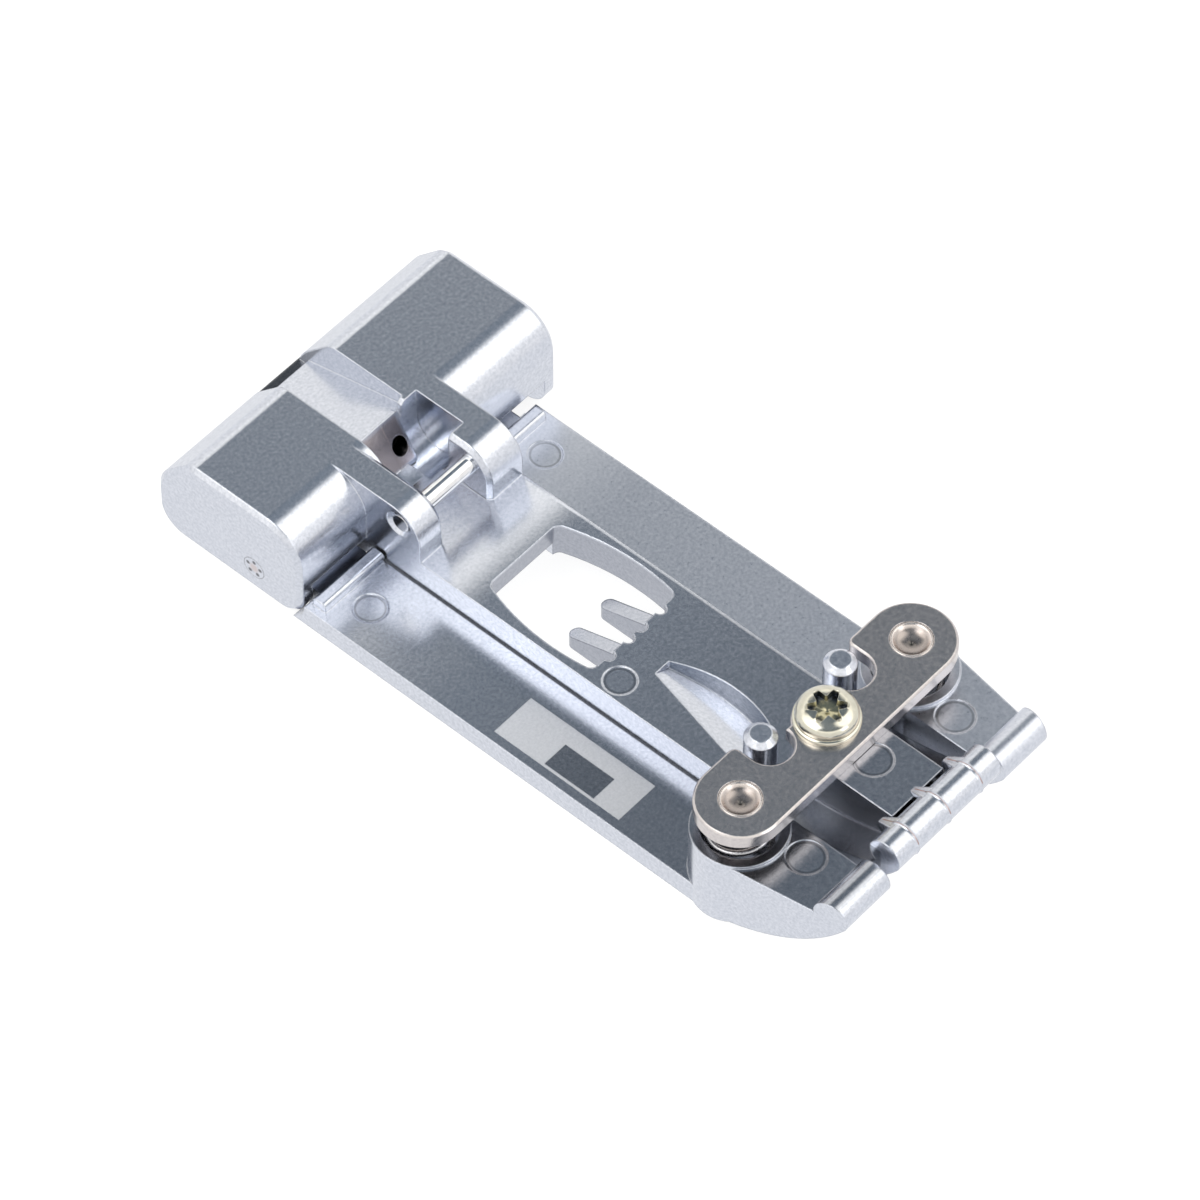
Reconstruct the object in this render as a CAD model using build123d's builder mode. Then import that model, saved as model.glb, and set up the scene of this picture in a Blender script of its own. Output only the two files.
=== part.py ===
from build123d import *
import os
from math import asin, cos, sin, sqrt

# Presser foot for a coverstitch machine with two sprung side soles.
# The toe points to -Y and the heel to +Y. The origin lies on the sole plane
# under the middle needle. All lengths are in millimetres.

os.makedirs("parts", exist_ok=True)

# Length by which a cutting shape runs past the face it opens
overrun = 1.0

# Needles and the needle opening
needle_pitch = 2.8
opening_rear_y = 3.35
opening_front_y = -5.25
opening_rear_half = 2.95
opening_wide_half = 3.93
opening_wide_y = -1.8
opening_front_half = 3.65
opening_corner = 0.5
finger_x = 1.4
finger_width = 0.9
finger_tip_y = -1.6
finger_tip_top = 2.0
finger_root_top = 3.35
finger_notch = 0.4

# Centre plate and the ski curve under the toe
plate_half = 4.45
plate_top = 3.65
body_lift = 1.1
tunnel_half = 2.6
tunnel_top = 2.2
ski_start_y = -19.3
ski_radius = 11.0
skid_rise_start_y = -19.0
skid_rise_y = -26.6
skid_rise_z = 5.35

# Centre toe
plateau_half = 2.24
plateau_top = 7.07
plateau_front_y = -26.35
centre_roll_radius = 1.1
centre_roll_z = 6.8
rib_half = 0.5
rib_height = 0.07
rib_taper = 30

# Thread scoop in the plate
scoop_depth = 1.8
scoop_rear_y = -8.15
scoop_front_y = -15.4
scoop_rear_left_x = -1.48
scoop_rear_right_x = -0.29
scoop_right_x = 0.75
scoop_right_y = -12.2
scoop_front_right_x = 0.1
scoop_front_left_x = -3.2
scoop_front_bulge = 0.5

# Stop posts
post_x = 3.47
post_y = -17.7
post_radius = 1.0
post_top = 8.47
post_edge = 0.35

# Heel lobes
lobe_front_y = 11.65
lobe_rear_y = 23.05
lobe_top = 7.2
left_lobe_outer = 10.155
right_lobe_outer = 12.3
groove_half = 2.05
lobe_shoulder_y = 20.4
lobe_shoulder_z = 4.35
shoulder_top_radius = 1.2
shoulder_rear_radius = 2.8
lobe_rear_bottom_radius = 2.0
lobe_front_top_radius = 2.7
lobe_front_bottom_radius = 1.6
lobe_wall = 1.05
pocket_rear_y = 20.6
lobe_edge = 0.3
front_wall_bottom = 2.5
groove_ledge_z = 3.9
groove_rear_y = 22.2
groove_rear_z = 4.4
groove_front_z = 6.45
groove_front_y = 14.6
groove_foot_y = 12.9
wall_hole_radius = 0.55
wall_hole_x = 0.6
wall_hole_z = 4.75
wall_hole_depth = 1.6

# Ears for the ankle
ear_front_y = 7.35
left_ear_inner = 2.35
ear_edge = 0.3
right_ear_inner = 1.6
ear_top_radius = 2.2
ear_recess_inner = 2.9
ear_recess_front_y = 10.6
ear_recess_rear_y = 14.3
ear_recess_bottom = 3.1

# Ankle pin, which the machine's ankle clips onto
ankle_pin_radius = 0.6
ankle_pin_y = 9.0
ankle_pin_z = 5.9
ankle_pin_sink = 0.12
countersink_radius = 0.95

# Hinge of the side soles
hinge_y = 15.36
hinge_z = 1.93
hinge_pin_radius = 0.8
hinge_clearance = 0.05
hinge_pin_inner_x = 2.9
knuckle_radius = 1.85
knuckle_side_gap = 0.3

# Side soles
side_gap = 0.12
sole_outer = 10.155
sole_thickness = 1.575
lip_front_y = 10.15
lip_rear_y = 11.15
lip_top = 2.25
lip_end_inset = 0.5
lip_edge = 0.28
heel_gap = 0.25

# Spring cups and side toes
cup_x = 7.47
cup_y = -19.63
cup_outer_radius = 2.9
cup_bore_radius = 2.3
cup_floor = 2.5
cup_rim_top = 5.5
toe_floor = 5.29
toe_floor_front_y = -26.45
toe_inner_x = 5.05
toe_outer_x = 9.96
toe_outer_y = -21.2
toe_taper = 0.16
toe_reach = 30.0
side_roll_radius = 1.1
side_roll_z = 5.5

# Cross bar
bar_thickness = 1.0
bar_end_radius = 2.7
notch_radius = 1.4
notch_x = 3.5
notch_y = -18.38
bump_radius = 2.05
notch_corner = 0.45
bar_hole_radius = 1.275
bar_edge = 0.12

# Screw that holds the bar
screw_head_radius = 2.0
screw_head_height = 1.35
screw_rim_height = 0.55
screw_shank_radius = 1.25
screw_shank_bottom = 3.2
screw_clearance = 0.1
recess_core_radius = 0.95
recess_lobe_radius = 0.33
recess_reach = 0.98
recess_depth = 0.75

# Studs and springs
stud_shank_radius = 1.1
stud_bottom = 4.9
stud_dish_radius = 0.85
stud_dish_depth = 0.25
spring_wire_radius = 0.2
spring_wire_sides = 5
spring_mean_radius = 1.9
spring_turns = 2.5
spring_seat_gap = 0.02

# Shallow marks of the ejector pins
mark_depth = 0.05
plate_mark_radius = 1.03
plate_mark = (-3.2, -6.94)
flange_mark_radius = 1.07
flange_mark = (7.65, 8.45)
toe_mark_radius = 1.2
toe_mark = (6.55, -23.74)
plateau_mark = (0.1, -23.0)

# Values that follow from the ones above
bar_bottom = plateau_top
bar_top = bar_bottom + bar_thickness
screw_y = cup_y
sole_inner = plate_half + side_gap
knuckle_inner_x = plate_half + knuckle_side_gap
knuckle_outer_x = left_lobe_outer - lobe_wall - knuckle_side_gap
plate_root_y = lobe_front_y + lobe_wall


def roll_centre_y(base_z, roll_radius, roll_z):
    """Y of a rolled lip whose round lies against the ski arc from inside."""
    reach = ski_radius - roll_radius
    return ski_start_y - sqrt(reach**2 - (base_z + ski_radius - roll_z) ** 2)


def ski_point(base_z, roll_radius, roll_z, share):
    """Point of the ski arc, from its start (share 0) to the roll (share 1)."""
    reach = ski_radius - roll_radius
    rise = ski_start_y - roll_centre_y(base_z, roll_radius, roll_z)
    angle = asin(rise / reach) * share
    return (ski_start_y - ski_radius * sin(angle), base_z + ski_radius * (1 - cos(angle)))


centre_roll_y = roll_centre_y(body_lift, centre_roll_radius, centre_roll_z)
side_roll_y = roll_centre_y(0, side_roll_radius, side_roll_z)

# Side view of a heel lobe, shared by both
with BuildSketch() as lobe_profile:
    with BuildLine():
        Polyline(
            (lobe_front_y, 0),
            (lobe_rear_y, 0),
            (lobe_rear_y, lobe_shoulder_z),
            (lobe_shoulder_y, lobe_top),
            (lobe_front_y, lobe_top),
            close=True,
        )
    make_face()
    for corner_y, corner_z, corner_radius in (
        (lobe_front_y, 0, lobe_front_bottom_radius),
        (lobe_rear_y, 0, lobe_rear_bottom_radius),
        (lobe_rear_y, lobe_shoulder_z, shoulder_rear_radius),
        (lobe_shoulder_y, lobe_top, shoulder_top_radius),
        (lobe_front_y, lobe_top, lobe_front_top_radius),
    ):
        fillet(lobe_profile.vertices().sort_by_distance((corner_y, corner_z, 0))[0], corner_radius)

# Left heel lobe, with its outer edges eased
with BuildPart() as left_lobe:
    with BuildSketch(Plane.YZ.offset(-left_lobe_outer)):
        add(lobe_profile.sketch)
    extrude(amount=left_lobe_outer - groove_half)
    chamfer(left_lobe.faces().sort_by(Axis.X)[0].edges(), lobe_edge)

# Right heel lobe, wider than the left
with BuildPart() as right_lobe:
    with BuildSketch(Plane.YZ.offset(groove_half)):
        add(lobe_profile.sketch)
    extrude(amount=right_lobe_outer - groove_half)
    chamfer(right_lobe.faces().sort_by(Axis.X)[-1].edges(), lobe_edge)

# Plan of the needle opening, with the two fingers left standing in it
with BuildSketch() as opening_plan:
    with BuildLine():
        Line((-opening_rear_half, opening_rear_y), (opening_rear_half, opening_rear_y))
        ThreePointArc(
            (opening_rear_half, opening_rear_y),
            (opening_wide_half, opening_wide_y),
            (opening_front_half, opening_front_y),
        )
        Line((opening_front_half, opening_front_y), (-opening_front_half, opening_front_y))
        ThreePointArc(
            (-opening_front_half, opening_front_y),
            (-opening_wide_half, opening_wide_y),
            (-opening_rear_half, opening_rear_y),
        )
    make_face()
    fillet(opening_plan.vertices(), opening_corner)
    for side in (-1, 1):
        with Locations((side * finger_x, (opening_front_y + finger_tip_y - finger_width / 2) / 2)):
            Rectangle(finger_width, finger_tip_y - finger_width / 2 - opening_front_y, mode=Mode.SUBTRACT)
        with Locations((side * finger_x, finger_tip_y - finger_width / 2)):
            Circle(finger_width / 2, mode=Mode.SUBTRACT)
        for edge in (-1, 1):
            with Locations((side * finger_x + edge * (finger_width / 2 + finger_notch), opening_front_y)):
                Circle(finger_notch)

# Tool for the thread scoop: a curved outline whose floor climbs to the left
scoop_fall = scoop_depth / (scoop_right_x - (scoop_rear_left_x + scoop_front_left_x) / 2)
scoop_lean = (scoop_front_left_x - scoop_rear_left_x) / (scoop_front_y - scoop_rear_y)
with BuildPart() as scoop_tool:
    with BuildSketch(Plane.XY.offset(plate_top - 2 * scoop_depth)):
        with BuildLine():
            Line((scoop_rear_left_x, scoop_rear_y), (scoop_rear_right_x, scoop_rear_y))
            Spline(
                (scoop_rear_right_x, scoop_rear_y),
                (scoop_right_x, scoop_right_y),
                (scoop_front_right_x, scoop_front_y),
                tangents=((0.5, -1), (-0.45, -1)),
            )
            ThreePointArc(
                (scoop_front_right_x, scoop_front_y),
                ((scoop_front_right_x + scoop_front_left_x) / 2, scoop_front_y - scoop_front_bulge),
                (scoop_front_left_x, scoop_front_y),
            )
            Line((scoop_front_left_x, scoop_front_y), (scoop_rear_left_x, scoop_rear_y))
        make_face()
    extrude(amount=3 * scoop_depth)
    scoop_floor = Plane(
        origin=(scoop_rear_left_x, scoop_rear_y, plate_top),
        z_dir=(scoop_fall, -scoop_fall * scoop_lean, 1),
    )
    split(bisect_by=scoop_floor, keep=Keep.TOP)

# Centre casting
with BuildPart() as centre_body:
    # Plate, skid and ski curve as one side view across the plate's width
    ski_mid = ski_point(body_lift, centre_roll_radius, centre_roll_z, 0.5)
    ski_end = ski_point(body_lift, centre_roll_radius, centre_roll_z, 1.0)
    with BuildSketch(Plane.YZ.offset(-plate_half)):
        with BuildLine():
            Line((plate_root_y, body_lift), (ski_start_y, body_lift))
            ThreePointArc((ski_start_y, body_lift), ski_mid, ski_end)
            Line(ski_end, (centre_roll_y, centre_roll_z))
            Line((centre_roll_y, centre_roll_z), (skid_rise_y, skid_rise_z))
            TangentArc((skid_rise_start_y, plate_top), (skid_rise_y, skid_rise_z), tangent=(-1, 0))
            Line((skid_rise_start_y, plate_top), (plate_root_y, plate_top))
            Line((plate_root_y, plate_top), (plate_root_y, body_lift))
        make_face()
        with Locations((centre_roll_y, centre_roll_z)):
            Circle(centre_roll_radius)
    extrude(amount=2 * plate_half)
    # Needle marks that wrap over the lip and reach back to the plateau
    rib_top = centre_roll_z + centre_roll_radius + rib_height
    for needle in (-1, 0, 1):
        with BuildSketch(Plane.YZ.offset(needle * needle_pitch)):
            with Locations((centre_roll_y, centre_roll_z)):
                Circle(centre_roll_radius + rib_height)
            with BuildLine():
                Polyline(
                    (centre_roll_y, rib_top),
                    (plateau_front_y, plateau_top),
                    (plateau_front_y, skid_rise_z),
                    (centre_roll_y, centre_roll_z - centre_roll_radius),
                    close=True,
                )
            make_face()
        extrude(amount=rib_half, both=True, taper=rib_taper)
    # Raised plateau with the round boss under the bar
    with BuildSketch(Plane.YZ.offset(-plateau_half)):
        with BuildLine():
            Polyline(
                (screw_y, tunnel_top),
                (screw_y, plateau_top),
                (plateau_front_y, plateau_top),
                (plateau_front_y, skid_rise_z - overrun),
                close=True,
            )
        make_face()
    extrude(amount=2 * plateau_half)
    with BuildSketch(Plane.XY.offset(tunnel_top)):
        with Locations((0, screw_y)):
            Circle(bump_radius)
    extrude(amount=plateau_top - tunnel_top)
    # Stop posts
    with BuildSketch(Plane.XY.offset(tunnel_top)):
        with Locations((-post_x, post_y), (post_x, post_y)):
            Circle(post_radius)
    extrude(amount=post_top - tunnel_top)
    chamfer(centre_body.edges().filter_by(GeomType.CIRCLE).group_by(Axis.Z)[-1], post_edge)
    # Heel lobes, the groove floor between them and the two ears
    add(left_lobe.part)
    add(right_lobe.part)
    with BuildSketch(Plane.YZ.offset(-groove_half - lobe_edge)):
        with BuildLine():
            Polyline(
                (lobe_rear_y, groove_ledge_z),
                (groove_rear_y, groove_ledge_z),
                (groove_rear_y, groove_rear_z),
                (groove_front_y, groove_front_z),
                (groove_foot_y, plate_top),
            )
            Polyline(
                (groove_foot_y, plate_top),
                (lobe_front_y - overrun, plate_top),
                (lobe_front_y - overrun, tunnel_top),
                (lobe_rear_y, tunnel_top),
                (lobe_rear_y, groove_ledge_z),
            )
        make_face()
    extrude(amount=2 * (groove_half + lobe_edge))
    ear_root_y = lobe_front_y + lobe_front_top_radius + lobe_edge
    for inner, outer in ((-plate_half, -left_ear_inner), (right_ear_inner, plate_half)):
        with BuildSketch(Plane.YZ.offset(inner)) as ear_profile:
            with BuildLine():
                Polyline(
                    (ear_front_y, tunnel_top),
                    (ear_root_y, tunnel_top),
                    (ear_root_y, lobe_top),
                    (ear_front_y, lobe_top),
                    close=True,
                )
            make_face()
            fillet(ear_profile.vertices().sort_by_distance((ear_front_y, lobe_top, 0))[0], ear_top_radius)
        extrude(amount=outer - inner)
    ear_front_edges = centre_body.edges().filter_by(Axis.Z).filter_by_position(
        Axis.Y, ear_front_y - ear_edge, ear_front_y + ear_edge
    )
    for inner_x in (-left_ear_inner, right_ear_inner):
        chamfer(ear_front_edges.sort_by_distance((inner_x, ear_front_y, plate_top))[0], ear_edge)
    # Recess in the right ear, open at the top, with a round foot
    ear_recess_radius = (ear_recess_rear_y - ear_recess_front_y) / 2
    ear_recess_y = (ear_recess_rear_y + ear_recess_front_y) / 2
    with BuildSketch(Plane.YZ.offset(right_ear_inner - overrun)):
        with Locations((ear_recess_y, ear_recess_bottom + ear_recess_radius)):
            Circle(ear_recess_radius)
        with Locations((ear_recess_y, (ear_recess_bottom + ear_recess_radius + lobe_top + overrun) / 2)):
            Rectangle(2 * ear_recess_radius, lobe_top + overrun - ear_recess_bottom - ear_recess_radius)
    extrude(amount=ear_recess_inner - right_ear_inner + overrun, mode=Mode.SUBTRACT)
    # Needle opening, with the fingers sloping down to their tips
    extrude(opening_plan.sketch, amount=plate_top + overrun, mode=Mode.SUBTRACT)
    with BuildSketch(Plane.YZ.offset(-opening_rear_half)):
        with BuildLine():
            Polyline(
                (opening_front_y, finger_root_top),
                (finger_tip_y, finger_tip_top),
                (finger_tip_y, plate_top + overrun),
                (opening_front_y, plate_top + overrun),
                close=True,
            )
        make_face()
    extrude(amount=2 * opening_rear_half, mode=Mode.SUBTRACT)
    # Stitch tunnel under the heel
    with BuildSketch(Plane.XY):
        with Locations((0, (opening_rear_y + lobe_rear_y + overrun) / 2)):
            Rectangle(2 * tunnel_half, lobe_rear_y + overrun - opening_rear_y)
    extrude(amount=tunnel_top, mode=Mode.SUBTRACT)
    # Pockets in the lobes for the knuckles, open below and to the front
    for inner, outer in (
        (-left_lobe_outer + lobe_wall, -plate_half),
        (plate_half, right_lobe_outer - lobe_wall),
    ):
        with BuildSketch(Plane.YZ.offset(inner)) as pocket_profile:
            add(lobe_profile.sketch)
            offset(amount=-lobe_wall, mode=Mode.REPLACE)
            pocket_y = (plate_root_y + pocket_rear_y) / 2
            with Locations((pocket_y, lobe_top / 2)):
                Rectangle(pocket_rear_y - plate_root_y, lobe_top, mode=Mode.INTERSECT)
            with Locations((pocket_y, hinge_z / 2)):
                Rectangle(pocket_rear_y - plate_root_y, hinge_z + 2 * overrun)
            with Locations((plate_root_y, (front_wall_bottom - overrun) / 2)):
                Rectangle(2 * (plate_root_y - lobe_front_y + overrun), front_wall_bottom + overrun)
        extrude(amount=outer - inner, mode=Mode.SUBTRACT)
    # Thread scoop
    add(scoop_tool.part, mode=Mode.SUBTRACT)
    # Bores for the ankle pin and the hinge pins
    with BuildSketch(Plane.YZ.offset(-plate_half - overrun)):
        with Locations((ankle_pin_y, ankle_pin_z)):
            Circle(ankle_pin_radius)
    extrude(amount=2 * (plate_half + overrun), mode=Mode.SUBTRACT)
    with BuildSketch(Plane.YZ.offset(-left_lobe_outer - overrun)):
        with Locations((hinge_y, hinge_z)):
            Circle(hinge_pin_radius)
    extrude(amount=left_lobe_outer + overrun - hinge_pin_inner_x, mode=Mode.SUBTRACT)
    with BuildSketch(Plane.YZ.offset(hinge_pin_inner_x)):
        with Locations((hinge_y, hinge_z)):
            Circle(hinge_pin_radius)
    extrude(amount=right_lobe_outer + overrun - hinge_pin_inner_x, mode=Mode.SUBTRACT)
    ankle_bore_mouth = (-plate_half, ankle_pin_y, ankle_pin_z)
    circles = centre_body.edges().filter_by(GeomType.CIRCLE)
    chamfer(circles.sort_by_distance(ankle_bore_mouth)[0], countersink_radius - ankle_pin_radius)
    # Round hole in the wall at the front of the groove
    with BuildSketch(Plane.XZ.offset(-groove_front_y - wall_hole_depth)):
        with Locations((wall_hole_x, wall_hole_z)):
            Circle(wall_hole_radius)
    extrude(amount=wall_hole_depth + groove_front_y - groove_foot_y, mode=Mode.SUBTRACT)
    # Tapped hole for the bar screw
    with BuildSketch(Plane.XY.offset(screw_shank_bottom)):
        with Locations((0, screw_y)):
            Circle(screw_shank_radius)
    extrude(amount=plateau_top + overrun - screw_shank_bottom, mode=Mode.SUBTRACT)
    # Ejector marks
    with BuildSketch(Plane.XY.offset(plate_top - mark_depth)):
        with Locations(plate_mark):
            Circle(plate_mark_radius)
    extrude(amount=mark_depth, mode=Mode.SUBTRACT)
    with BuildSketch(Plane.XY.offset(plateau_top - mark_depth)):
        with Locations(plateau_mark):
            Circle(toe_mark_radius)
    extrude(amount=mark_depth, mode=Mode.SUBTRACT)

# Right sole
with BuildPart() as toe_block:
    # Plan: the spring cup's round and the toe that narrows forwards
    with BuildSketch():
        with Locations((cup_x, cup_y)):
            Circle(cup_outer_radius)
        with BuildLine():
            Polyline(
                (toe_inner_x, cup_y),
                (toe_inner_x, -toe_reach),
                (toe_outer_x - toe_taper * (toe_outer_y + toe_reach), -toe_reach),
                (toe_outer_x, toe_outer_y),
                (toe_outer_x, cup_y),
                close=True,
            )
        make_face()
    extrude(amount=side_roll_z + side_roll_radius + overrun)
    # Side view: flat sole, ski arc, rolled lip and the floor behind it
    side_ski_mid = ski_point(0, side_roll_radius, side_roll_z, 0.5)
    side_ski_end = ski_point(0, side_roll_radius, side_roll_z, 1.0)
    toe_rear_y = cup_y + cup_outer_radius + overrun
    with BuildSketch(Plane.YZ.offset(sole_inner - overrun)):
        with BuildLine():
            Line((toe_rear_y, 0), (ski_start_y, 0))
            ThreePointArc((ski_start_y, 0), side_ski_mid, side_ski_end)
            Line(side_ski_end, (side_roll_y, side_roll_z))
            Line((side_roll_y, side_roll_z), (toe_floor_front_y, toe_floor))
            Line((toe_floor_front_y, toe_floor), (toe_rear_y, toe_floor))
            Line((toe_rear_y, toe_floor), (toe_rear_y, 0))
        make_face()
        with Locations((side_roll_y, side_roll_z)):
            Circle(side_roll_radius)
    extrude(amount=right_lobe_outer, mode=Mode.INTERSECT)

with BuildPart() as right_sole:
    # Flange beside the plate and the arm that reaches under the lobe
    with BuildSketch():
        with Locations(((sole_inner + sole_outer) / 2, (cup_y + lip_rear_y) / 2)):
            Rectangle(sole_outer - sole_inner, lip_rear_y - cup_y)
        with Locations(((knuckle_inner_x + knuckle_outer_x) / 2, (lip_rear_y + hinge_y) / 2)):
            Rectangle(knuckle_outer_x - knuckle_inner_x, hinge_y - lip_rear_y)
    extrude(amount=sole_thickness)
    # Outer strip that follows the lobe's rounded corner
    with BuildSketch(Plane.YZ.offset(left_lobe_outer - lobe_wall)):
        with Locations(((lip_rear_y + lobe_front_y + lobe_front_bottom_radius) / 2, sole_thickness / 2)):
            Rectangle(lobe_front_y + lobe_front_bottom_radius - lip_rear_y, sole_thickness)
        with Locations((lobe_front_y + lobe_front_bottom_radius, lobe_front_bottom_radius)):
            Circle(lobe_front_bottom_radius + heel_gap, mode=Mode.SUBTRACT)
    extrude(amount=sole_outer - left_lobe_outer + lobe_wall)
    # Raised lip in front of the lobe
    with BuildSketch(Plane.YZ.offset(sole_inner)) as lip_profile:
        with Locations(((lip_front_y + lip_rear_y) / 2, lip_top / 2)):
            Rectangle(lip_rear_y - lip_front_y, lip_top)
        fillet(lip_profile.vertices().group_by(Axis.Y)[-1], lip_edge)
    extrude(amount=sole_outer - lip_end_inset - sole_inner)
    # Toe block and cup rim
    add(toe_block.part)
    with BuildSketch(Plane.XY.offset(toe_floor)):
        with Locations((cup_x, cup_y)):
            Circle(cup_outer_radius)
    extrude(amount=cup_rim_top - toe_floor)
    with BuildSketch(Plane.XY.offset(cup_floor)):
        with Locations((cup_x, cup_y)):
            Circle(cup_bore_radius)
    extrude(amount=cup_rim_top - cup_floor, mode=Mode.SUBTRACT)
    # Knuckle round the hinge pin
    with BuildSketch(Plane.YZ.offset(knuckle_inner_x)):
        with Locations((hinge_y, hinge_z)):
            Circle(knuckle_radius)
    extrude(amount=knuckle_outer_x - knuckle_inner_x)
    with BuildSketch(Plane.YZ.offset(knuckle_inner_x - overrun)):
        with Locations((hinge_y, hinge_z)):
            Circle(hinge_pin_radius + hinge_clearance)
    extrude(amount=knuckle_outer_x - knuckle_inner_x + 2 * overrun, mode=Mode.SUBTRACT)
    # Ejector marks
    with BuildSketch(Plane.XY.offset(sole_thickness - mark_depth)):
        with Locations(flange_mark):
            Circle(flange_mark_radius)
    extrude(amount=mark_depth, mode=Mode.SUBTRACT)
    with BuildSketch(Plane.XY.offset(toe_floor - mark_depth)):
        with Locations(toe_mark):
            Circle(toe_mark_radius)
    extrude(amount=mark_depth, mode=Mode.SUBTRACT)

# Left sole, the mirror of the right
with BuildPart() as left_sole:
    mirror(right_sole.part, about=Plane.YZ)

# Hinge pins, pressed in from the sides
with BuildPart() as left_hinge_pin:
    with BuildSketch(Plane.YZ.offset(-left_lobe_outer)):
        with Locations((hinge_y, hinge_z)):
            Circle(hinge_pin_radius)
    extrude(amount=left_lobe_outer - hinge_pin_inner_x)

with BuildPart() as right_hinge_pin:
    with BuildSketch(Plane.YZ.offset(hinge_pin_inner_x)):
        with Locations((hinge_y, hinge_z)):
            Circle(hinge_pin_radius)
    extrude(amount=right_lobe_outer - hinge_pin_inner_x)

# Ankle pin between the ears
with BuildPart() as ankle_pin:
    with BuildSketch(Plane.YZ.offset(-plate_half + ankle_pin_sink)):
        with Locations((ankle_pin_y, ankle_pin_z)):
            Circle(ankle_pin_radius)
    extrude(amount=2 * (plate_half - ankle_pin_sink))

# Cross bar with notches for the posts and a round middle for the screw
with BuildPart() as bridge_bar:
    with BuildSketch(Plane.XY.offset(bar_bottom)) as bar_plan:
        with Locations((0, cup_y)):
            SlotCenterToCenter(2 * cup_x, 2 * bar_end_radius)
        bar_back_y = cup_y + bar_end_radius
        with Locations((0, (notch_y + bar_back_y + overrun) / 2)):
            Rectangle(2 * (notch_x + notch_radius), bar_back_y + overrun - notch_y, mode=Mode.SUBTRACT)
        with Locations((-notch_x, notch_y), (notch_x, notch_y)):
            Circle(notch_radius, mode=Mode.SUBTRACT)
        with Locations((0, screw_y)):
            Circle(bump_radius)
        back_corners = bar_plan.vertices().group_by(Axis.Y)[-1]
        fillet(back_corners.sort_by(Axis.X)[1:-1], notch_corner)
        with Locations((-cup_x, cup_y), (cup_x, cup_y)):
            Circle(bar_hole_radius, mode=Mode.SUBTRACT)
        with Locations((0, screw_y)):
            Circle(screw_shank_radius + screw_clearance, mode=Mode.SUBTRACT)
    extrude(amount=bar_thickness)
    chamfer(bridge_bar.faces().sort_by(Axis.Z)[-1].outer_wire().edges(), bar_edge)

# Screw with a domed head and a six-lobed recess
with BuildPart() as bar_screw:
    with BuildSketch(Plane.XY.offset(screw_shank_bottom)):
        with Locations((0, screw_y)):
            Circle(screw_shank_radius)
    extrude(amount=bar_top - screw_shank_bottom)
    dome_rise = screw_head_height - screw_rim_height
    dome_radius = (screw_head_radius**2 + dome_rise**2) / (2 * dome_rise)
    dome_mid_x = dome_radius * sin(asin(screw_head_radius / dome_radius) / 2)
    dome_mid_z = bar_top + screw_head_height - dome_radius + sqrt(dome_radius**2 - dome_mid_x**2)
    with BuildSketch(Plane.XZ.offset(-screw_y)):
        with BuildLine():
            Polyline(
                (0, bar_top + screw_head_height),
                (0, bar_top),
                (screw_head_radius, bar_top),
                (screw_head_radius, bar_top + screw_rim_height),
            )
            ThreePointArc(
                (screw_head_radius, bar_top + screw_rim_height),
                (dome_mid_x, dome_mid_z),
                (0, bar_top + screw_head_height),
            )
        make_face()
    revolve(axis=Axis((0, screw_y, 0), (0, 0, 1)))
    with BuildSketch(Plane.XY.offset(bar_top + screw_head_height - recess_depth)):
        with Locations((0, screw_y)):
            Circle(recess_core_radius)
            with PolarLocations(recess_reach, 6):
                Circle(recess_lobe_radius)
    extrude(amount=recess_depth, mode=Mode.SUBTRACT)

# Studs and springs of each side
studs = {}
springs = {}
for side, name in ((-1, "left"), (1, "right")):
    with BuildPart() as stud:
        with BuildSketch(Plane.XY.offset(stud_bottom)):
            with Locations((side * cup_x, cup_y)):
                Circle(stud_shank_radius)
        extrude(amount=bar_bottom - stud_bottom)
        with BuildSketch(Plane.XY.offset(bar_bottom)):
            with Locations((side * cup_x, cup_y)):
                Circle(bar_hole_radius)
        extrude(amount=bar_thickness)
        with BuildSketch(Plane.XY.offset(bar_top - stud_dish_depth)):
            with Locations((side * cup_x, cup_y)):
                Circle(stud_dish_radius)
        extrude(amount=stud_dish_depth, mode=Mode.SUBTRACT)
    studs[name] = stud.part

    spring_bottom = cup_floor + spring_wire_radius + spring_seat_gap
    spring_height = bar_bottom - spring_wire_radius - spring_seat_gap - spring_bottom
    with BuildPart() as spring:
        with BuildLine() as coil:
            Helix(
                pitch=spring_height / spring_turns,
                height=spring_height,
                radius=spring_mean_radius,
                center=(side * cup_x, cup_y, spring_bottom),
            )
        with BuildSketch(Plane(origin=coil.line @ 0, z_dir=coil.line % 0)):
            RegularPolygon(spring_wire_radius, spring_wire_sides)
        sweep(is_frenet=True)
    springs[name] = spring.part

# Names and files
pieces = {
    "centre_body": centre_body.part,
    "left_sole": left_sole.part,
    "right_sole": right_sole.part,
    "left_hinge_pin": left_hinge_pin.part,
    "right_hinge_pin": right_hinge_pin.part,
    "ankle_pin": ankle_pin.part,
    "bridge_bar": bridge_bar.part,
    "bar_screw": bar_screw.part,
    "left_stud": studs["left"],
    "right_stud": studs["right"],
    "left_spring": springs["left"],
    "right_spring": springs["right"],
}
for name, piece in pieces.items():
    piece.label = name
    export_step(piece, "parts/" + name + ".step")
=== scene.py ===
import math

import bmesh
import bpy
from mathutils import Matrix, Vector


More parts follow.
